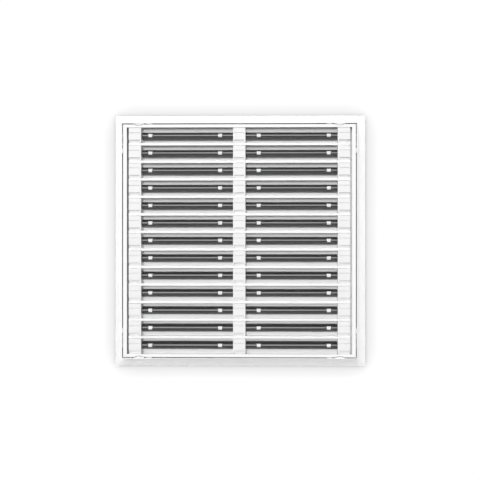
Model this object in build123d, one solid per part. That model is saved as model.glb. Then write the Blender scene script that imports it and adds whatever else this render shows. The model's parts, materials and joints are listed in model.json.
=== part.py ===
from build123d import *
import os

# Square linear slot diffuser with a removable core, in millimetres.
# X runs along the slots, Z is up, -Y is the duct side and +Y the room side.
# The origin is the middle of the face, in the plane of the flange's rear, mounting surface.

# Driving dimensions
FACE_SIZE = 595.0  # outside of the flange, for a 600 mm ceiling module
NECK_SIZE = 555.0  # outside of the neck that enters the duct opening
CORE_SIZE = 546.0  # outside of the removable core
DEPTH = 30.0  # neck depth behind the flange
FACE_Y = 2.0  # room side of the flange, the core and the bars
SHEET = 1.8  # wall of the aluminium sections
SLOT_COUNT = 13
PITCH = 41.2  # from slot to slot
MARGIN = 3.0  # by which a cut reaches beyond its wall

# Outer frame
FLANGE_BEVEL_WIDTH = 8.0
FLANGE_BEVEL_DEPTH = 0.9
NECK_SCREW_RADIUS = 2.1  # holes for the screws that hold the neck in its opening
NECK_SCREW_SPACING = 300.0  # two to a side
NECK_SCREW_Y = -18.0

# Core frame
SIDE_RIM = 8.8  # rear lip of the core at the left and right
END_RIM = 6.9  # and at the top and bottom
FACE_SLOT = 18.5  # slot between the face strips
FACE_SIDE = 16.5  # width of the core's face flange at the left and right

# Bars
BULB_HEIGHT = 6.0  # rear edge of a bar
BULB_DEPTH = 3.0
BULB_ROUNDING = 0.8
STEM = 2.0
BAR_END_GAP = 4.4  # between a bar's end and the rim
BAR_FACE_GAP = 0.2  # between a bar's face and the core's side flange

# Spacers
SPACER_WIDTH = 29.0
SPACER_PLAY = 0.1
SPACER_REAR_GAP = 0.3  # between the rear face and the bars' rear edges
TONGUE_Y = 1.2  # front of the spacer's tongue, which closes the slot
SPACER_RIB = 3.0  # plain strip of the rear face beside each field
GROOVE_DROP = 10.7  # from the slot's upper edge down to the groove in the rear face
GROOVE_WIDTH = 1.4
GROOVE_DEPTH = 2.5
RECESS_DROP = 27.8  # from the slot's upper edge down to the recess
RECESS_DEPTH = 6.5
POCKET_WIDTH = 8.5
POCKET_Y = (-22.0, -9.5)
POCKET_FROM_ROD = 4.0

# Tie rods
ROD_RADIUS = 2.5
ROD_HOLE_RADIUS = 2.6
ROD_Y = -14.0
NUT_ACROSS_FLATS = 8.0
NUT_HEIGHT = 4.0

# Blades
PIVOT_Y = -5.0
BLADE_DEPTH = 18.0  # from the pivot axis to the nose
BLADE_HALF_HEIGHT = 9.6
BLADE_WALL = 1.3
BLADE_END_GAP = 0.5
PLUG_THICKNESS = 3.0
PLUG_BOSS_RADIUS = 4.0
PIN_RADIUS = 2.0
PIN_LENGTH = 5.3
PIN_HOLE_RADIUS = 2.05
PIN_HOLE_DEPTH = 5.6
CLIP_RISE = 1.2
CLIP_HEIGHT = 8.2
CLIP_RAISE = 0.8  # of the clip's middle above the blade's
CLIP_TOP_WIDTH = 10.0
CLIP_BOTTOM_WIDTH = 8.6
CLIP_FROM_SIDE_END = 20.7  # clip centre from the field's outer end
CLIP_FROM_CENTRE_END = 31.0  # clip centre from the field's inner end
STUD_RADIUS = 1.5

# Corner brackets, rivets and screws
FRAME_BRACKET_LEG = 22.0
FRAME_BRACKET_SHEET = 1.2
FRAME_BRACKET_Y = (-22.0, -6.0)
FRAME_RIVET_FROM_CORNER = 12.0
RIVET_RADIUS = 1.6
RIVET_HEAD_RADIUS = 3.0
RIVET_HEAD = 0.9
RIVET_CLINCH_RADIUS = 2.5
RIVET_CLINCH = 0.5
CORE_BRACKET_LEG = 18.0
CORE_BRACKET_SHEET = 2.0
CORE_BRACKET_Y = (-24.0, -4.0)
SCREW_FROM_CORNER = 11.0
SCREW_RADIUS = 2.0
SCREW_HEAD_RADIUS = 3.7
SCREW_HEAD = 1.7
SCREW_HEAD_PLAY = 0.05
SCREW_LENGTH = 6.0
FASTENER_Y = -14.0

# Retaining springs, in the gap between the neck and the core
SPRING_FROM_CORNER = 37.0  # bump centre from the core's corner
SPRING_Y = (-29.0, -17.0)
SPRING_SHEET = 0.6
SPRING_START = -12.5  # along the side from the bump's centre, towards the corner
SPRING_END = 31.0  # and towards the middle of the side
SPRING_TABS = (-11.5, 10.0)
SPRING_TAB_WIDTH = 2.0
SPRING_TAB_HEIGHT = 2.4
BUMP_HALF_SPAN = 10.5
BUMP_HEIGHT = 4.8
BUMP_ROOT = 0.3
PAD = (19.0, 30.0)
PAD_HEIGHT = 1.9
NOTCH_CHORD = 21.0
NOTCH_DEPTH = 3.0
NOTCH_FRONT_Y = -14.5

# Worked out from the above
HALF_FACE = FACE_SIZE / 2
HALF_NECK = NECK_SIZE / 2
NECK_INSIDE = HALF_NECK - SHEET
NECK_CUT = (NECK_INSIDE - MARGIN, HALF_NECK + MARGIN)
HALF_CORE = CORE_SIZE / 2
REAR_Y = -DEPTH
BAR_BACK_Y = FACE_Y - SHEET  # rear surface of every face strip
HALF_OPENING = (HALF_CORE - SIDE_RIM, HALF_CORE - END_RIM)  # along X and Z
SLOT_HEIGHT = PITCH - BULB_HEIGHT
FIRST_SLOT_Z = PITCH * (SLOT_COUNT - 1) / 2
FACE_TOP = FIRST_SLOT_Z + FACE_SLOT / 2  # lower edge of the core's top face flange
FACE_BOTTOM = FACE_TOP - FACE_SLOT - (SLOT_COUNT - 1) * PITCH
FACE_INNER = HALF_CORE - FACE_SIDE
SPACER_FRONT_Y = BAR_BACK_Y - SPACER_PLAY
CROSSPIECE = PITCH - FACE_SLOT
BAR_HALF_LENGTH = HALF_OPENING[0] - BAR_END_GAP
FACE_END = FACE_INNER - BAR_FACE_GAP
SIDE_SPACER_X = BAR_HALF_LENGTH - SPACER_WIDTH / 2
FIELD_INNER = SPACER_WIDTH / 2
FIELD_OUTER = BAR_HALF_LENGTH - SPACER_WIDTH
FIELD_CENTRE = (FIELD_INNER + FIELD_OUTER) / 2
BLADE_LENGTH = FIELD_OUTER - FIELD_INNER - 2 * BLADE_END_GAP
SPRING_X = HALF_CORE - SPRING_FROM_CORNER
SLOT_Z = [FIRST_SLOT_Z - PITCH * row for row in range(SLOT_COUNT)]
BAR_Z = [z - PITCH / 2 for z in SLOT_Z[:-1]]
ROD_X = (-SIDE_SPACER_X, 0.0, SIDE_SPACER_X)
SIDES = ("top", "right", "bottom", "left")  # in the order of a quarter turn about Y
SNAP_SIDES = ("top", "bottom")  # where the springs have bumps that snap into the core's notches


def block(x, y, z):
    """Box between two X, two Y and two Z values."""
    size = [pair[1] - pair[0] for pair in (x, y, z)]
    centre = [(pair[0] + pair[1]) / 2 for pair in (x, y, z)]
    return Pos(*centre) * Box(*size)


def rod_x(radius, x, y=0.0, z=0.0):
    """Cylinder along X between two X values."""
    return Pos((x[0] + x[1]) / 2, y, z) * Rot(0, 90, 0) * Cylinder(radius, x[1] - x[0])


def rod_z(radius, z, x=0.0, y=0.0):
    """Cylinder along Z between two Z values."""
    return Pos(x, y, (z[0] + z[1]) / 2) * Cylinder(radius, z[1] - z[0])


def section(*points):
    """Face across X from its (y, z) corners."""
    return Plane.YZ * Polygon(*points, align=None)


def turned_to(side, piece):
    """The top side's piece turned to the side of the given name."""
    return Rot(0, 90 * SIDES.index(side), 0) * piece


def all_sides(piece):
    """The top side's piece turned to each of the four sides, in the order of SIDES."""
    return [turned_to(side, piece) for side in SIDES]


def both_ends(piece):
    """A piece near the right corner and its mirror image near the left corner."""
    return [piece, mirror(piece, about=Plane.YZ)]


def mitred(face):
    """Top side of a square frame: the face along X, cut at 45 degrees at both ends."""
    reach = FACE_SIZE
    wedge = Plane.XZ * Polygon((0, 0), (reach, reach), (-reach, reach), align=None)
    return extrude(face, HALF_FACE, both=True) & extrude(wedge, 2 * DEPTH, both=True)


def frame_side():
    """L profile: flange with a bevelled outer edge, and the neck wall."""
    face = section(
        (FACE_Y, NECK_INSIDE),
        (FACE_Y, HALF_FACE),
        (FLANGE_BEVEL_DEPTH, HALF_FACE),
        (0, HALF_FACE - FLANGE_BEVEL_WIDTH),
        (0, HALF_NECK),
        (REAR_Y, HALF_NECK),
        (REAR_Y, NECK_INSIDE),
    )
    side = mitred(face)
    for hole in (frame_rivet_hole(), spring_rivet_hole(), neck_screw_hole()):
        for cut in both_ends(hole):
            side -= cut
    return side


def frame_rivet_x():
    return NECK_INSIDE - FRAME_RIVET_FROM_CORNER


def spring_rivet_x():
    return SPRING_X - sum(PAD) / 2


def frame_rivet_hole():
    return rod_z(RIVET_RADIUS, NECK_CUT, frame_rivet_x(), FASTENER_Y)


def spring_rivet_hole():
    return rod_z(RIVET_RADIUS, NECK_CUT, spring_rivet_x(), sum(SPRING_Y) / 2)


def neck_screw_hole():
    return rod_z(NECK_SCREW_RADIUS, NECK_CUT, NECK_SCREW_SPACING / 2, NECK_SCREW_Y)


def rivet(inner_z, x, y):
    """Rivet along Z: a head outside the neck wall and a clinched end at inner_z."""
    head = rod_z(RIVET_HEAD_RADIUS, (HALF_NECK, HALF_NECK + RIVET_HEAD), x, y)
    head = chamfer(head.edges().group_by(Axis.Z)[-1], RIVET_HEAD / 2)
    shank = rod_z(RIVET_RADIUS, (inner_z, HALF_NECK), x, y)
    clinch = rod_z(RIVET_CLINCH_RADIUS, (inner_z - RIVET_CLINCH, inner_z), x, y)
    return head + shank + clinch


def frame_bracket():
    """Thin angle inside the neck's top right corner."""
    corner = NECK_INSIDE
    inner = corner - FRAME_BRACKET_SHEET
    leg = corner - FRAME_BRACKET_LEG
    angle = block((leg, corner), FRAME_BRACKET_Y, (inner, corner))
    angle += block((inner, corner), FRAME_BRACKET_Y, (leg, corner))
    hole = frame_rivet_hole()
    return angle - hole - Rot(0, 90, 0) * mirror(hole, about=Plane.YZ)


def frame_rivets():
    one = rivet(NECK_INSIDE - FRAME_BRACKET_SHEET, frame_rivet_x(), FASTENER_Y)
    return both_ends(one)


def spring_rivet():
    return rivet(NECK_INSIDE - PAD_HEIGHT, spring_rivet_x(), sum(SPRING_Y) / 2)


def spring(bumped):
    """Moulded leaf on the top neck wall near the right corner; its pad points to the middle."""

    def along(position):
        return SPRING_X - position

    def strip(start, end, low, high):
        return block((along(end), along(start)), SPRING_Y, (NECK_INSIDE - high, NECK_INSIDE - low))

    leaf = strip(SPRING_START, SPRING_END, 0, SPRING_SHEET)
    for tab in SPRING_TABS:
        half = SPRING_TAB_WIDTH / 2
        leaf += strip(tab - half, tab + half, 0, SPRING_TAB_HEIGHT)
    leaf += strip(*PAD, 0, PAD_HEIGHT)
    if bumped:
        leaf += spring_bump()
    return leaf - spring_rivet_hole()


def spring_bump():
    """Bump that snaps into the core's notch."""
    ends = [(SPRING_X + side * BUMP_HALF_SPAN, NECK_INSIDE - BUMP_ROOT) for side in (-1, 1)]
    crown = ThreePointArc(ends[0], (SPRING_X, NECK_INSIDE - BUMP_HEIGHT), ends[1])
    half_width = (SPRING_Y[1] - SPRING_Y[0]) / 2
    bump = extrude(Plane.XZ * make_face([crown, Line(*ends)]), half_width, both=True)
    return Pos(0, sum(SPRING_Y) / 2, 0) * bump


def core_side(notched):
    """C profile with its rear lip and face flange at their widest; notched where springs have bumps."""
    web_inside = HALF_CORE - SHEET
    lip = HALF_CORE - max(SIDE_RIM, END_RIM)
    face = section(
        (FACE_Y, HALF_CORE),
        (REAR_Y, HALF_CORE),
        (REAR_Y, lip),
        (REAR_Y + SHEET, lip),
        (REAR_Y + SHEET, web_inside),
        (BAR_BACK_Y, web_inside),
        (BAR_BACK_Y, FACE_TOP),
        (FACE_Y, FACE_TOP),
    )
    side = mitred(face)
    cuts = both_ends(core_screw(SCREW_HEAD_PLAY))
    if notched:
        cuts += both_ends(spring_notch())
    for cut in cuts:
        side -= cut
    return side


def core_openings():
    """Openings of the core's face and rear, which trim the face flange and the lip on each side."""
    half_x, half_z = HALF_OPENING
    face = block((-FACE_INNER, FACE_INNER), (0, FACE_Y + MARGIN), (FACE_BOTTOM, FACE_TOP))
    rear = block((-half_x, half_x), (REAR_Y - MARGIN, REAR_Y + MARGIN), (-half_z, half_z))
    return face + rear


def spring_notch():
    """Arched notch in the top of the core, open towards the duct."""
    radius = (NOTCH_CHORD**2 / 4 + NOTCH_DEPTH**2) / (2 * NOTCH_DEPTH)
    length = NOTCH_FRONT_Y - REAR_Y
    bore = Rot(90, 0, 0) * Cylinder(radius, length)
    return Pos(SPRING_X, REAR_Y + length / 2, HALF_CORE - NOTCH_DEPTH + radius) * bore


def core_screw(head_play=0.0):
    """Countersunk screw, flush with the top of the core, near its right corner."""
    x = HALF_CORE - SCREW_FROM_CORNER
    cone = Cone(SCREW_RADIUS, SCREW_HEAD_RADIUS + head_play, SCREW_HEAD)
    head = Pos(x, FASTENER_Y, HALF_CORE - SCREW_HEAD / 2) * cone
    return head + rod_z(SCREW_RADIUS, (HALF_CORE - SCREW_LENGTH, HALF_CORE - SCREW_HEAD), x, FASTENER_Y)


def core_bracket():
    """Angle inside the core's top right corner."""
    corner = HALF_CORE - SHEET
    inner = corner - CORE_BRACKET_SHEET
    leg = corner - CORE_BRACKET_LEG
    angle = block((leg, corner), CORE_BRACKET_Y, (inner, corner))
    angle += block((inner, corner), CORE_BRACKET_Y, (leg, corner))
    screw = core_screw()
    return angle - screw - Rot(0, 90, 0) * mirror(screw, about=Plane.YZ)


def t_bar():
    """Bar with its stem about Z = 0: rounded rear edge, stem and face crosspiece."""
    bulb = Pos(REAR_Y + BULB_DEPTH / 2, 0) * RectangleRounded(BULB_DEPTH, BULB_HEIGHT, BULB_ROUNDING)
    stem_depth = FACE_Y - REAR_Y - BULB_ROUNDING
    stem = Pos(FACE_Y - stem_depth / 2, 0) * Rectangle(stem_depth, STEM)
    face = Pos(FACE_Y - SHEET / 2, 0) * Rectangle(SHEET, CROSSPIECE)
    bar = extrude(Plane.YZ * (bulb + stem + face), BAR_HALF_LENGTH, both=True)
    notch_x = (FACE_END, BAR_HALF_LENGTH + MARGIN)
    notch_y = (SPACER_FRONT_Y, FACE_Y + MARGIN)
    for end in both_ends(block(notch_x, notch_y, (-PITCH, PITCH))):
        bar -= end
    for x in ROD_X:
        bar -= rod_z(ROD_HOLE_RADIUS, (-PITCH, PITCH), x, ROD_Y)
    return bar


def spacer(column):
    """Moulded spacer about X = Z = 0; column is -1 at the left, 0 in the middle, 1 at the right."""
    half = SPACER_WIDTH / 2
    rear_half = SLOT_HEIGHT / 2 - SPACER_REAR_GAP
    deep_half = (PITCH - STEM) / 2
    tongue_z = (SPACER_PLAY - FACE_SLOT / 2, FACE_SLOT / 2 - SPACER_PLAY)
    shoulder_y = REAR_Y + BULB_DEPTH + SPACER_PLAY
    inner_end = half if column == 0 else FACE_END - SIDE_SPACER_X
    tongue_x = (-half, inner_end) if column >= 0 else (-inner_end, half)
    body = block((-half, half), (REAR_Y, SPACER_FRONT_Y), (-rear_half, rear_half))
    body += block((-half, half), (shoulder_y, SPACER_FRONT_Y), (-deep_half, deep_half))
    body += block(tongue_x, (SPACER_FRONT_Y, TONGUE_Y), tongue_z)
    cut_x = [side * (half + MARGIN if side == column else half - SPACER_RIB) for side in (-1, 1)]
    top = SLOT_HEIGHT / 2
    groove_z = (top - GROOVE_DROP - GROOVE_WIDTH, top - GROOVE_DROP)
    body -= block(cut_x, (REAR_Y - MARGIN, REAR_Y + GROOVE_DEPTH), groove_z)
    body -= block(cut_x, (REAR_Y - MARGIN, REAR_Y + RECESS_DEPTH), (-top, top - RECESS_DROP))
    body -= rod_z(ROD_HOLE_RADIUS, (-PITCH, PITCH), 0, ROD_Y)
    for side in (-1, 1):
        pocket_x = sorted((side * POCKET_FROM_ROD, side * (POCKET_FROM_ROD + POCKET_WIDTH)))
        body -= block(pocket_x, POCKET_Y, (-PITCH, PITCH))
        if side != column:
            hole_x = sorted((side * (half - PIN_HOLE_DEPTH), side * (half + MARGIN)))
            body -= rod_x(PIN_HOLE_RADIUS, hole_x, PIVOT_Y)
    return body


def nut():
    """Hexagon nut under the core's top web."""
    hexagon = RegularPolygon(NUT_ACROSS_FLATS / 2, 6, major_radius=False) - Circle(ROD_RADIUS)
    return Pos(0, ROD_Y, HALF_CORE - SHEET - NUT_HEIGHT) * extrude(hexagon, NUT_HEIGHT)


def blade_half(growth, length):
    """Half ellipse behind the pivot axis, grown by growth and centred on X = 0."""
    rear = Pos(-BLADE_DEPTH, 0) * Rectangle(2 * BLADE_DEPTH, 4 * BLADE_HALF_HEIGHT)
    outline = Ellipse(BLADE_DEPTH + growth, BLADE_HALF_HEIGHT + growth) & rear
    return Pos(0, PIVOT_Y, 0) * extrude(Plane.YZ * outline, length / 2, both=True)


def end_plug(side):
    """Plug in a blade's end with its pivot boss and pin; side is -1 or 1."""
    end = side * BLADE_LENGTH / 2
    plug = Pos(end - side * PLUG_THICKNESS / 2, 0, 0) * blade_half(-BLADE_WALL, PLUG_THICKNESS)
    plug += rod_x(PLUG_BOSS_RADIUS, sorted((end - side * PLUG_THICKNESS, end)), PIVOT_Y)
    return plug + rod_x(PIN_RADIUS, sorted((end - side * PLUG_THICKNESS, end + side * PIN_LENGTH)), PIVOT_Y)


def clip_stud(radius):
    """Stud that holds a clip in the blade's nose."""
    tip_y = PIVOT_Y - BLADE_DEPTH + 2 * BLADE_WALL
    length = 2 * BLADE_WALL
    return Pos(0, tip_y - length / 2, 0) * Rot(90, 0, 0) * Cylinder(radius, length)


def clip():
    """Saddle on the blade's nose, wider at its top edge, about X = 0."""
    top = CLIP_TOP_WIDTH / 2
    bottom = CLIP_BOTTOM_WIDTH / 2
    high = CLIP_RAISE + CLIP_HEIGHT / 2
    low = CLIP_RAISE - CLIP_HEIGHT / 2
    outline = Plane.XZ * Polygon((-top, high), (top, high), (bottom, low), (-bottom, low), align=None)
    saddle = blade_half(CLIP_RISE, CLIP_TOP_WIDTH) - blade_half(0, 2 * CLIP_TOP_WIDTH)
    return (saddle & extrude(outline, 2 * DEPTH, both=True)) + clip_stud(STUD_RADIUS)


def blade(side):
    """Blade of the left (-1) or right (1) field about X = 0: shell, plugs and clips."""
    half_field = BLADE_LENGTH / 2 + BLADE_END_GAP
    clip_x = (side * (half_field - CLIP_FROM_SIDE_END), side * (CLIP_FROM_CENTRE_END - half_field))
    shell = blade_half(0, BLADE_LENGTH) - blade_half(-BLADE_WALL, 2 * BLADE_LENGTH)
    for end in (-1, 1):
        shell -= end_plug(end)
    for x in clip_x:
        shell -= Pos(x, 0, 0) * clip_stud(STUD_RADIUS)
    clips = [Pos(x, 0, 0) * clip() for x in clip_x]
    return [shell, end_plug(-1), end_plug(1), *clips]


def write(name, pieces):
    """Write one node from its pieces, each piece as separate solids."""
    solids = [solid for piece in pieces for solid in piece.solids()]
    export_step(Compound(solids), f"parts/{name}.step")


def write_outer_frame():
    for name, side in zip(SIDES, all_sides(frame_side())):
        write(f"frame_{name}", [side])
    write("frame_corner_brackets", all_sides(frame_bracket()))
    write("bracket_rivets", [turned for one in frame_rivets() for turned in all_sides(one)])
    springs = []
    for side in SIDES:
        springs += [turned_to(side, one) for one in both_ends(spring(side in SNAP_SIDES))]
    write("retaining_springs", springs)
    write("spring_rivets", [turned for one in both_ends(spring_rivet()) for turned in all_sides(one)])


def write_core():
    for name in SIDES:
        side = turned_to(name, core_side(name in SNAP_SIDES)) - core_openings()
        for x in ROD_X:
            side -= rod_z(ROD_RADIUS, (-HALF_FACE, HALF_FACE), x, ROD_Y)
        write(f"core_{name}", [side])
    write("core_corner_brackets", all_sides(core_bracket()))
    write("core_corner_screws", [turned for one in both_ends(core_screw()) for turned in all_sides(one)])
    bar = t_bar()
    for number, z in enumerate(BAR_Z, start=1):
        write(f"t_bar_{number:02d}", [Pos(0, 0, z) * bar])
    for name, column in (("left", -1), ("centre", 0), ("right", 1)):
        one = spacer(column)
        write(f"spacers_{name}", [Pos(column * SIDE_SPACER_X, 0, z) * one for z in SLOT_Z])
    write("tie_rods", [rod_z(ROD_RADIUS, (-HALF_CORE, HALF_CORE), x, ROD_Y) for x in ROD_X])
    nuts = [nut(), mirror(nut(), about=Plane.XY)]
    write("tie_rod_nuts", [Pos(x, 0, 0) * one for x in ROD_X for one in nuts])


def write_blades():
    for name, side in (("left", -1), ("right", 1)):
        pieces = blade(side)
        for row, z in enumerate(SLOT_Z, start=1):
            place = Pos(side * FIELD_CENTRE, 0, z)
            write(f"blade_{name}_{row:02d}", [place * piece for piece in pieces])


os.makedirs("parts", exist_ok=True)
write_outer_frame()
write_core()
write_blades()
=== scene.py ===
import bpy
import json
import math
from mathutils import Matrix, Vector

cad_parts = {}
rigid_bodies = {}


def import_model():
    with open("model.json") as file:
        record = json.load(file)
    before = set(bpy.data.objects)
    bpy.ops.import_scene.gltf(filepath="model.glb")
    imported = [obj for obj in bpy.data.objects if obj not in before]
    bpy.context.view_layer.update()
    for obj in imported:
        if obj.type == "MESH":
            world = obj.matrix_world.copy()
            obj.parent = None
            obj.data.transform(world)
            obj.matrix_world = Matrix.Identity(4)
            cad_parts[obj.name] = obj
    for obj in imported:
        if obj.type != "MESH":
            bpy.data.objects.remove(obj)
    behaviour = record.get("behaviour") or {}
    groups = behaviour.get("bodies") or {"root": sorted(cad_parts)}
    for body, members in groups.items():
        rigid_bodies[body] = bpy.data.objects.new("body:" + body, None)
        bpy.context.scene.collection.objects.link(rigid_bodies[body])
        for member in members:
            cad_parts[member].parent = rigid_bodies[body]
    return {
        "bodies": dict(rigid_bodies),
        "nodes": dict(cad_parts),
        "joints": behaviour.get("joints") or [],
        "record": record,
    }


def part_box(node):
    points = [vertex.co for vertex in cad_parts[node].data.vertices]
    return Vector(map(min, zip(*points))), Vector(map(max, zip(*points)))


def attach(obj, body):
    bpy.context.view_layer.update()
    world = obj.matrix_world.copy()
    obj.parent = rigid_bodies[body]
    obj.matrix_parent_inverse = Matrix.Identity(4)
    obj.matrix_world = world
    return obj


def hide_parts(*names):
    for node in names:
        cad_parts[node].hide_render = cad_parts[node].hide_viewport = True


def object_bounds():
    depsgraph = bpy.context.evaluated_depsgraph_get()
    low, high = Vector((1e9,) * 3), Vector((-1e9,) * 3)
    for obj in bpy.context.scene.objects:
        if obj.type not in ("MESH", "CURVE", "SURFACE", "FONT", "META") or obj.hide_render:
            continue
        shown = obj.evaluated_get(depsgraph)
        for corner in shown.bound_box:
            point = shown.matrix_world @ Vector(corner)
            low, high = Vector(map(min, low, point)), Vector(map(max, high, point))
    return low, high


# Slot diffuser lying face down on a pale floor, in metres.
# X runs along the slots, Z is up, -Y is the duct side and +Y the room side.

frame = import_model()
packed_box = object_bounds()

# Camera, level with the middle of the face, a little to its right and turned slightly towards it
SENSOR = 0.036
LENS = 0.06257
CAMERA_PLACE = Vector((0.128, -1.984, -0.0075))
CAMERA_YAW = math.radians(0.9)
CAMERA_HOME_REACH = 0.001  # the camera counts as moved beyond this
PICTURE_CENTRE = Vector((-0.0001, 0.0, 0.0019))  # on the flange
MILLIMETRES = 1000  # in a metre, for the lens and sensor

# Floor, glowing, with shade painted into its glow near the diffuser
FLOOR_GAP = 0.010  # between the face and the floor
FLOOR_SIZE = 8.0
FLOOR_PAINTED_SHADE_REACH = 0.062
FLOOR_PAINTED_SHADE_SAMPLES = 16
FLOOR_PAINTED_SHADE_TONES = (0.12, 1.04)  # glow of the floor in full painted shade and in the open
FLOOR_PATCH = 0.2
FLOOR_PATCH_DETAIL = 3
FLOOR_PATCH_TONES = (0.995, 1.005)
PAINTED_SHADE_TILT = 0.06  # leans the floor's painted shade downwards, away from the key light

# Light: the sky, then lamps that each add a share to the tone of a white surface parallel to the face
SKY_ABOVE = 0.54
SKY_BELOW = 0.14
KEY_DIRECTION = Vector((-0.09, -0.83, 0.42)).normalized()  # large, above and behind the camera
KEY_DISTANCE = 12.0
KEY_SIZE = (6.0, 12.7)
KEY_SHARE = 0.34
FRONT_DIRECTION = Vector((-0.03, -1.0, 0.08)).normalized()  # small, behind the camera
FRONT_DISTANCE = 8.0
FRONT_SIZE = (1.0, 1.2)
FRONT_SHARE = 0.43
TOP_DIRECTION = Vector((0.0, -0.30, 1.0)).normalized()  # for the upper sides of the bars
TOP_DISTANCE = 8.0
TOP_SIZE = (4.0, 2.0)
TOP_SHARE = 0.07
ROOM_DIRECTION = Vector((0.15, 1.0, 0.25)).normalized()  # for the decorative face
ROOM_DISTANCE = 8.0
ROOM_SIZE = (3.0, 3.0)
ROOM_SHARE = 0.55

# Blades, as in the CAD
BLADE_DEPTH = 0.018  # from the pivot axis to the nose
BLADE_HALF_HEIGHT = 0.0096
BLADE_WALL = 0.0013
BLADE_END_GAP = 0.0005
ARC_STEPS = 48
PLUG_THICKNESS = 0.003
BOSS_RADIUS = 0.004
PIN_RADIUS = 0.002
PIN_LENGTH = 0.0053
PIN_CHAMFER = 0.0004
CIRCLE_STEPS = 32
CLIP_RISE = 0.0012
CLIP_HEIGHT = 0.0082
CLIP_RAISE = 0.0008  # of the clip's middle above the blade's
CLIP_TOP_WIDTH = 0.010
CLIP_BOTTOM_WIDTH = 0.0086
CLIP_EDGE = 0.0004  # chamfer round the clip
CLIP_GROOVE = 0.00025  # depth of the groove down its middle
CLIP_GROOVE_WIDTH = 1.2  # half width of the groove, in chamfers
CLIP_STEPS = 8  # down its height
CLIP_SEAT = 0.0001  # how far its inner side sinks into the shell
CLIP_FROM_SIDE_END = 0.0207
CLIP_FROM_CENTRE_END = 0.031
SHARP_ANGLE = math.radians(35)

# Materials
EDGE_RADIUS = 0.0005  # rounding of every edge, in shading only
EDGE_SAMPLES = 4
EDGE_FACING = (0.98, 0.85)  # rounded normal against the flat one, where wear begins and is full
CHIPS_PER_PATCH = 8
PATCH_DETAIL = 4
GRAIN_DETAIL = 3
CHIP_DETAIL = 5
NOISE_MIDDLE = (0.3, 0.7)  # the range that most noise values fall in
MIX_FIRST = 6  # places of a Mix node's two colour inputs and its colour output
MIX_SECOND = 7
MIX_OUTPUT = 2


def add_node(tree, kind, inputs, **settings):
    """One shader node; an input given as a socket is linked, any other is set."""
    node = tree.nodes.new(kind)
    for key, value in settings.items():
        setattr(node, key, value)
    for key, value in inputs.items():
        if isinstance(value, bpy.types.NodeSocket):
            tree.links.new(value, node.inputs[key])
        else:
            node.inputs[key].default_value = value
    return node


def noise(tree, place, size, detail):
    """Noise between 0 and 1 with features of the given size."""
    node = add_node(tree, "ShaderNodeTexNoise", {"Vector": place, "Scale": 1 / size, "Detail": detail})
    return node.outputs["Fac"]


def spread(tree, value, low, high):
    """The middle of a noise value spread over the range from low to high."""
    inputs = {
        "Value": value,
        "From Min": NOISE_MIDDLE[0],
        "From Max": NOISE_MIDDLE[1],
        "To Min": low,
        "To Max": high,
    }
    return add_node(tree, "ShaderNodeMapRange", inputs).outputs["Result"]


def mixed(tree, factor, first, second):
    """Colour between two others."""
    inputs = {0: factor, MIX_FIRST: first, MIX_SECOND: second}
    return add_node(tree, "ShaderNodeMix", inputs, data_type="RGBA").outputs[MIX_OUTPUT]


def grey(tone):
    """Opaque grey."""
    return (tone, tone, tone, 1.0)


def surface(
    name,
    tones,
    roughness,
    grain,
    relief,
    edge_tone,
    wear,
    metallic=0.0,
    ior=1.5,
    patch=0.03,
    stretch=(1, 1, 1),
):
    """Material with patches of tone and gloss, a fine relief and slightly worn edges."""
    material = bpy.data.materials.new(name)
    material.use_nodes = True
    tree = material.node_tree
    local = add_node(tree, "ShaderNodeTexCoord", {}).outputs["Object"]
    origin = add_node(tree, "ShaderNodeObjectInfo", {}).outputs["Location"]
    place = add_node(tree, "ShaderNodeVectorMath", {0: local, 1: origin}, operation="ADD").outputs[0]
    along = add_node(tree, "ShaderNodeMapping", {"Vector": place, "Scale": stretch}).outputs[0]
    patches = noise(tree, along, patch, PATCH_DETAIL)
    fine = noise(tree, along, grain, GRAIN_DETAIL)
    tint = mixed(tree, spread(tree, patches, 0, 1), grey(tones[0]), grey(tones[1]))

    bevel = add_node(tree, "ShaderNodeBevel", {"Radius": EDGE_RADIUS}, samples=EDGE_SAMPLES).outputs[0]
    flat = add_node(tree, "ShaderNodeNewGeometry", {}).outputs["Normal"]
    compared = add_node(tree, "ShaderNodeVectorMath", {0: bevel, 1: flat}, operation="DOT_PRODUCT")
    edge_range = {
        "Value": compared.outputs["Value"],
        "From Min": EDGE_FACING[0],
        "From Max": EDGE_FACING[1],
        "To Min": 0.0,
        "To Max": wear,
    }
    edge = add_node(tree, "ShaderNodeMapRange", edge_range).outputs["Result"]
    chips = spread(tree, noise(tree, place, patch / CHIPS_PER_PATCH, CHIP_DETAIL), 0, 1)
    worn = add_node(tree, "ShaderNodeMath", {0: edge, 1: chips}, operation="MULTIPLY").outputs[0]
    colour = mixed(tree, worn, tint, grey(edge_tone))

    bump_inputs = {"Strength": 1.0, "Distance": relief, "Height": fine, "Normal": bevel}
    bump = add_node(tree, "ShaderNodeBump", bump_inputs).outputs[0]
    principled = tree.nodes["Principled BSDF"]
    principled.inputs["Metallic"].default_value = metallic
    principled.inputs["IOR"].default_value = ior
    tree.links.new(colour, principled.inputs["Base Color"])
    tree.links.new(spread(tree, patches, *roughness), principled.inputs["Roughness"])
    tree.links.new(bump, principled.inputs["Normal"])
    return material


def powder_coat():
    return surface(
        "white_powder_coat",
        tones=(0.88, 0.91),
        roughness=(0.40, 0.50),
        grain=0.0012,
        relief=0.00002,
        edge_tone=0.93,
        wear=0.6,
    )


def white_moulding():
    return surface(
        "white_moulded_plastic",
        tones=(0.80, 0.84),
        roughness=(0.36, 0.46),
        grain=0.0006,
        relief=0.00001,
        edge_tone=0.88,
        wear=0.4,
        patch=0.02,
    )


def black_extrusion():
    return surface(
        "black_extruded_plastic",
        tones=(0.008, 0.013),
        roughness=(0.26, 0.34),
        grain=0.0007,
        relief=0.000006,
        edge_tone=0.10,
        wear=0.5,
        ior=2.3,
        stretch=(0.03, 1, 1),
    )


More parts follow.
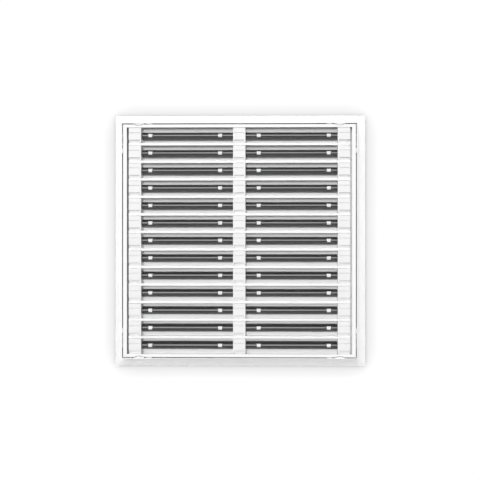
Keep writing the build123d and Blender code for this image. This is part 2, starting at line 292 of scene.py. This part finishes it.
def black_moulding():
    return surface(
        "black_moulded_plastic",
        tones=(0.016, 0.026),
        roughness=(0.40, 0.50),
        grain=0.0006,
        relief=0.00001,
        edge_tone=0.08,
        wear=0.4,
        patch=0.01,
    )


def zinc_steel():
    return surface(
        "zinc_plated_steel",
        tones=(0.60, 0.74),
        roughness=(0.34, 0.48),
        grain=0.0008,
        relief=0.00001,
        edge_tone=0.85,
        wear=0.6,
        metallic=1.0,
        patch=0.004,
    )


def make_mesh(name, points, faces, material):
    """Smooth mesh with sharp creases, in one material."""
    mesh = bpy.data.meshes.new(name)
    mesh.from_pydata(points, [], faces)
    mesh.materials.append(material)
    mesh.shade_smooth()
    mesh.set_sharp_from_angle(angle=SHARP_ANGLE)
    return mesh


def half_ellipse(shrink):
    """(y, z) points behind the pivot axis, from the blade's upper to its lower edge."""
    turns = [math.pi * (0.5 - step / ARC_STEPS) for step in range(ARC_STEPS + 1)]
    depth = BLADE_DEPTH - shrink
    half = BLADE_HALF_HEIGHT - shrink
    return [(-depth * math.cos(turn), half * math.sin(turn)) for turn in turns]


def circle(radius):
    """(y, z) points round the pivot axis."""
    turns = [2 * math.pi * step / CIRCLE_STEPS for step in range(CIRCLE_STEPS)]
    return [(-radius * math.sin(turn), radius * math.cos(turn)) for turn in turns]


def loft(outlines, stations):
    """Closed solid through (y, z) outlines of equal length, one at each X station."""
    count = len(outlines[0])
    points = [(x, y, z) for x, outline in zip(stations, outlines) for y, z in outline]
    faces = [tuple(range(count))]
    for ring in range(len(stations) - 1):
        for step in range(count):
            after = (step + 1) % count
            near, far = ring * count, (ring + 1) * count
            faces.append((near + after, near + step, far + step, far + after))
    last = (len(stations) - 1) * count
    faces.append(tuple(reversed(range(last, last + count))))
    return points, faces


def joined(solids):
    """The points and faces of several solids as one list each."""
    points, faces = [], []
    for solid_points, solid_faces in solids:
        start = len(points)
        points += solid_points
        faces += [tuple(start + index for index in face) for face in solid_faces]
    return points, faces


def blade_shell(length, material):
    """Hollow half ellipse, open towards the room."""
    outer, inner = half_ellipse(0), half_ellipse(BLADE_WALL)
    ring = outer + inner[::-1]
    count = len(ring)
    points, faces = loft([ring, ring], [-length / 2, length / 2])
    caps = []
    for step in range(ARC_STEPS):
        near = (step, step + 1, count - 2 - step, count - 1 - step)
        caps.append(near)
        caps.append(tuple(count + index for index in reversed(near)))
    return make_mesh("blade_shell", points, faces[1:-1] + caps, material)


def blade_plug(material):
    """End plug with its pivot boss and pin; the pin points to +X and the outer side is X = 0."""
    plate = half_ellipse(BLADE_WALL)
    boss = circle(BOSS_RADIUS)
    pin = circle(PIN_RADIUS)
    tip = circle(PIN_RADIUS - PIN_CHAMFER)
    pin_stations = [-PLUG_THICKNESS / 2, PIN_LENGTH - PIN_CHAMFER, PIN_LENGTH]
    solids = [
        loft([plate, plate], [-PLUG_THICKNESS, 0]),
        loft([boss, boss], [-PLUG_THICKNESS, 0]),
        loft([pin, pin, tip], pin_stations),
    ]
    points, faces = joined(solids)
    return make_mesh("blade_plug", points, faces, material)


def clip_point(across, down, rise):
    """Point of the clip: across runs from -1 to 1, down from 0 to 1, rise is above the shell."""
    half_width = (CLIP_TOP_WIDTH + down * (CLIP_BOTTOM_WIDTH - CLIP_TOP_WIDTH)) / 2
    z = CLIP_RAISE + CLIP_HEIGHT * (0.5 - down)
    sine = z / (BLADE_HALF_HEIGHT + rise)
    return across * half_width, -(BLADE_DEPTH + rise) * math.sqrt(1 - sine * sine), z


def blade_clip(material):
    """Saddle on the blade's nose: chamfered edges and a shallow groove down the middle."""
    edge = 2 * CLIP_EDGE / CLIP_TOP_WIDTH
    groove = edge * CLIP_GROOVE_WIDTH
    across = [-1, edge - 1, -0.5, -groove, 0, groove, 0.5, 1 - edge, 1]
    rim = CLIP_EDGE / CLIP_HEIGHT
    middle = [rim + (1 - 2 * rim) * step / CLIP_STEPS for step in range(1, CLIP_STEPS)]
    down = [0, rim] + middle + [1 - rim, 1]
    outer, inner = [], []
    for row, v in enumerate(down):
        for column, u in enumerate(across):
            if row in (0, len(down) - 1) or column in (0, len(across) - 1):
                lowered = CLIP_EDGE
            else:
                lowered = CLIP_GROOVE if u == 0 else 0
            outer.append(clip_point(u, v, CLIP_RISE - lowered))
            inner.append(clip_point(u, v, -CLIP_SEAT))
    width, height = len(across), len(down)
    faces = []
    for row in range(height - 1):
        for column in range(width - 1):
            first = row * width + column
            face = (first, first + width, first + width + 1, first + 1)
            faces.append(face)
            faces.append(tuple(len(outer) + index for index in reversed(face)))
    border = list(range(width))
    border += [row * width + width - 1 for row in range(1, height)]
    border += [(height - 1) * width + column for column in range(width - 2, -1, -1)]
    border += [row * width for row in range(height - 2, 0, -1)]
    for step, first in enumerate(border):
        second = border[(step + 1) % len(border)]
        faces.append((first, second, len(outer) + second, len(outer) + first))
    return make_mesh("blade_clip", outer + inner, faces, material)


def place_piece(name, mesh, place, node, turned=False):
    """Object of a blade's mesh at a place, riding on the blade's body and shown instead of its node."""
    piece = bpy.data.objects.new(name, mesh)
    bpy.context.scene.collection.objects.link(piece)
    piece.location = place
    if turned:
        piece.scale = (-1, 1, 1)
    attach(piece, node)
    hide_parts(node)


def build_blades(materials):
    """Shell, end plugs and clips of every blade, in place of its CAD node."""
    pivots = {joint["child"]: Vector(joint["pos_m"]) for joint in frame["joints"] if "pos_m" in joint}
    low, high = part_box(next(iter(pivots)))
    length = high.x - low.x - 2 * PIN_LENGTH
    half_field = length / 2 + BLADE_END_GAP
    shell = blade_shell(length, materials["shell"])
    plug = blade_plug(materials["plug"])
    clip = blade_clip(materials["clip"])
    for node, pivot in pivots.items():
        side = math.copysign(1, pivot.x)
        place_piece(f"{node}_shell", shell, pivot, node)
        for end, word in ((-1, "left"), (1, "right")):
            place = pivot + Vector((end * length / 2, 0, 0))
            place_piece(f"{node}_plug_{word}", plug, place, node, turned=end < 0)
        clip_places = (half_field - CLIP_FROM_SIDE_END, CLIP_FROM_CENTRE_END - half_field)
        for number, along in enumerate(clip_places, start=1):
            place = pivot + Vector((side * along, 0, 0))
            place_piece(f"{node}_clip_{number}", clip, place, node)


def finish_cad_nodes(slot_materials):
    """Every CAD node takes the material of its slot in the record."""
    for entry in frame["record"]["subparts"]:
        mesh = frame["nodes"][entry["node"]].data
        mesh.materials.clear()
        mesh.materials.append(slot_materials[entry["material_slot"]])


def floor_material():
    """Pale glowing floor with shade painted into its glow close to the diffuser, and see-through from
    behind.
    """
    material = bpy.data.materials.new("pale_floor")
    material.use_nodes = True
    tree = material.node_tree
    tree.nodes.clear()
    place = add_node(tree, "ShaderNodeTexCoord", {}).outputs["Object"]
    normal = Vector((0, -1, PAINTED_SHADE_TILT)).normalized()
    occlusion_inputs = {"Distance": FLOOR_PAINTED_SHADE_REACH, "Normal": normal_socket(tree, normal)}
    # Painted shade: an occlusion node dims the floor's glow near the diffuser, in place of its shadow on
    # the floor.
    occlusion_node = add_node(
        tree, "ShaderNodeAmbientOcclusion", occlusion_inputs, samples=FLOOR_PAINTED_SHADE_SAMPLES
    )
    occlusion = occlusion_node.outputs["AO"]
    tone_inputs = {"Value": occlusion, "To Min": FLOOR_PAINTED_SHADE_TONES[0], "To Max": FLOOR_PAINTED_SHADE_TONES[1]}
    tone = add_node(tree, "ShaderNodeMapRange", tone_inputs).outputs["Result"]
    variation = spread(tree, noise(tree, place, FLOOR_PATCH, FLOOR_PATCH_DETAIL), *FLOOR_PATCH_TONES)
    strength = add_node(tree, "ShaderNodeMath", {0: tone, 1: variation}, operation="MULTIPLY").outputs[0]
    glow_with_painted_shade = add_node(tree, "ShaderNodeEmission", {"Strength": strength}).outputs[0]
    clear = add_node(tree, "ShaderNodeBsdfTransparent", {}).outputs[0]
    behind = add_node(tree, "ShaderNodeNewGeometry", {}).outputs["Backfacing"]
    mix = add_node(tree, "ShaderNodeMixShader", {0: behind, 1: glow_with_painted_shade, 2: clear}).outputs[0]
    add_node(tree, "ShaderNodeOutputMaterial", {"Surface": mix})
    return material


def normal_socket(tree, vector):
    """A fixed vector as a socket."""
    node = add_node(tree, "ShaderNodeCombineXYZ", {"X": vector.x, "Y": vector.y, "Z": vector.z})
    return node.outputs[0]


def build_floor():
    """Floor square behind the face, facing the duct side; only the camera sees it."""
    half = FLOOR_SIZE / 2
    y = packed_box[1].y + FLOOR_GAP
    corners = [(-half, y, -half), (half, y, -half), (half, y, half), (-half, y, half)]
    mesh = bpy.data.meshes.new("floor")
    mesh.from_pydata(corners, [], [(0, 1, 2, 3)])
    mesh.materials.append(floor_material())
    floor = bpy.data.objects.new("floor", mesh)
    bpy.context.scene.collection.objects.link(floor)
    floor.visible_diffuse = False
    floor.visible_glossy = False
    floor.visible_transmission = False
    floor.visible_shadow = False
    keep_below_core(floor)


def keep_below_core(floor):
    """The floor gives way as far as the core slides out of the frame."""
    driver = floor.driver_add("location", 1).driver
    driver.type = "SUM"
    variable = driver.variables.new()
    variable.name = "slide"
    variable.type = "TRANSFORMS"
    variable.targets[0].id = frame["bodies"]["core"]
    variable.targets[0].transform_type = "LOC_Y"


def build_sky():
    """White surround, brighter above than below."""
    world = bpy.data.worlds.new("studio")
    bpy.context.scene.world = world
    world.use_nodes = True
    tree = world.node_tree
    direction = add_node(tree, "ShaderNodeTexCoord", {}).outputs["Generated"]
    height = add_node(tree, "ShaderNodeSeparateXYZ", {0: direction}).outputs["Z"]
    inputs = {"Value": height, "From Min": -1.0, "To Min": SKY_BELOW, "To Max": SKY_ABOVE}
    strength = add_node(tree, "ShaderNodeMapRange", inputs).outputs["Result"]
    background = tree.nodes["Background"]
    background.inputs["Color"].default_value = grey(1.0)
    tree.links.new(strength, background.inputs["Strength"])


def build_light(name, direction, distance, size, share, glossy=True):
    """Soft rectangular light that adds the given tone to a white surface parallel to the face."""
    light = bpy.data.lights.new(name, "AREA")
    light.shape = "RECTANGLE"
    light.size, light.size_y = size
    light.energy = share * (math.pi * distance) ** 2 / abs(direction.y)
    lamp = bpy.data.objects.new(name, light)
    lamp.location = direction * distance
    lamp.rotation_euler = direction.to_track_quat("Z", "Y").to_euler()
    lamp.visible_camera = False
    lamp.visible_glossy = glossy
    bpy.context.scene.collection.objects.link(lamp)


def build_camera():
    """Camera whose lens shift brings the diffuser to the middle of the picture."""
    data = bpy.data.cameras.new("camera")
    data.sensor_width = SENSOR * MILLIMETRES
    data.lens = LENS * MILLIMETRES
    camera = bpy.data.objects.new("camera", data)
    bpy.context.scene.collection.objects.link(camera)
    camera.location = CAMERA_PLACE
    camera.rotation_euler = (math.pi / 2, 0, CAMERA_YAW)
    bpy.context.scene.camera = camera
    aim = PICTURE_CENTRE - CAMERA_PLACE
    across = math.tan(math.atan2(aim.x, aim.y) + CAMERA_YAW)
    depth = aim.y * math.cos(CAMERA_YAW) - aim.x * math.sin(CAMERA_YAW)
    shift_only_at_home(data, "shift_x", across * LENS / SENSOR, camera)
    shift_only_at_home(data, "shift_y", aim.z / depth * LENS / SENSOR, camera)


def shift_only_at_home(data, channel, shift, camera):
    """Lens shift that goes back to zero when the camera moves to another viewpoint."""
    driver = data.driver_add(channel).driver
    variable = driver.variables.new()
    variable.name = "x"
    variable.targets[0].id = camera
    variable.targets[0].data_path = "location[0]"
    driver.expression = f"{shift:.6f} if abs(x - {CAMERA_PLACE.x}) < {CAMERA_HOME_REACH} else 0.0"


coat = powder_coat()
moulding = white_moulding()
extrusion = black_extrusion()
slots = {
    "white_aluminium": coat,
    "white_plastic": moulding,
    "black_plastic": extrusion,
    "zinc_steel": zinc_steel(),
}
finish_cad_nodes(slots)
build_blades({"shell": extrusion, "plug": black_moulding(), "clip": moulding})
build_floor()
build_sky()
build_light("key", KEY_DIRECTION, KEY_DISTANCE, KEY_SIZE, KEY_SHARE)
build_light("front", FRONT_DIRECTION, FRONT_DISTANCE, FRONT_SIZE, FRONT_SHARE, glossy=False)
build_light("top", TOP_DIRECTION, TOP_DISTANCE, TOP_SIZE, TOP_SHARE, glossy=False)
build_light("room", ROOM_DIRECTION, ROOM_DISTANCE, ROOM_SIZE, ROOM_SHARE, glossy=False)
build_camera()
bpy.context.scene.view_settings.view_transform = "Standard"
